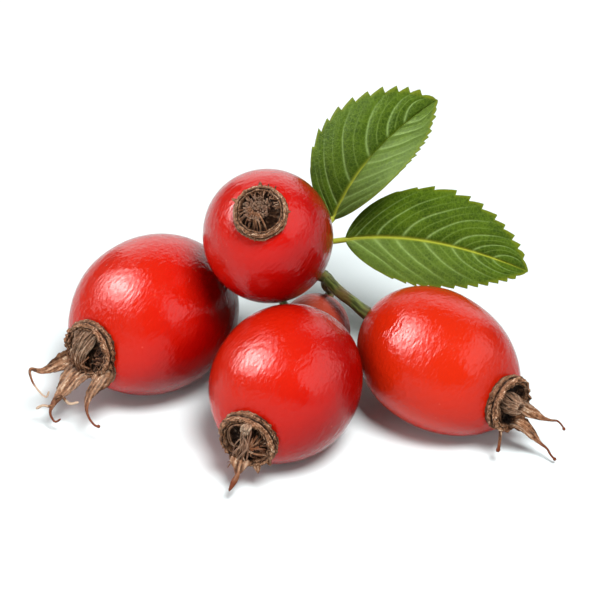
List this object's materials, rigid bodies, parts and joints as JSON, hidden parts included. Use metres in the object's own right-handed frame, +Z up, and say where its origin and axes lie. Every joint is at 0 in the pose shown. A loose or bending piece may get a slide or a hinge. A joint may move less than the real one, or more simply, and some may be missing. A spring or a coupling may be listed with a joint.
{
  "type": "rose hip sprig",
  "caption": "Ripe red rose hips on a short woody stalk with two toothed green leaflets, lying down; each hip ends in a dry brown calyx.",
  "frame": {"origin": "On the surface that the hips rest on (z = 0), under the middle of the whole sprig's bounding box.", "axes": "+Z up. +X to the right along the sprig's longest extent, from the left hip's sepals to the right hip's. +Y to the back, where the stalk is; the front hip's calyx faces -Y."},
  "size_m": [0.073, 0.043, 0.0389],
  "materials": {
    "hip_skin": "smooth waxy ripe skin",
    "dried_calyx": "dry, matt and streaky",
    "stalk_bark": "green bark, satin",
    "leaf": "green leaf, satin upper side"
  },
  "bodies": {
    "root": {"hip_left": "hip_skin", "calyx_left": "dried_calyx", "hip_front": "hip_skin", "calyx_front": "dried_calyx", "hip_right": "hip_skin", "calyx_right": "dried_calyx", "hip_top": "hip_skin", "calyx_top": "dried_calyx", "hip_back": "hip_skin", "calyx_back": "dried_calyx", "stalk": "stalk_bark", "leaflet_upper": "leaf", "leaflet_lower": "leaf"}
  },
  "joints": []
}
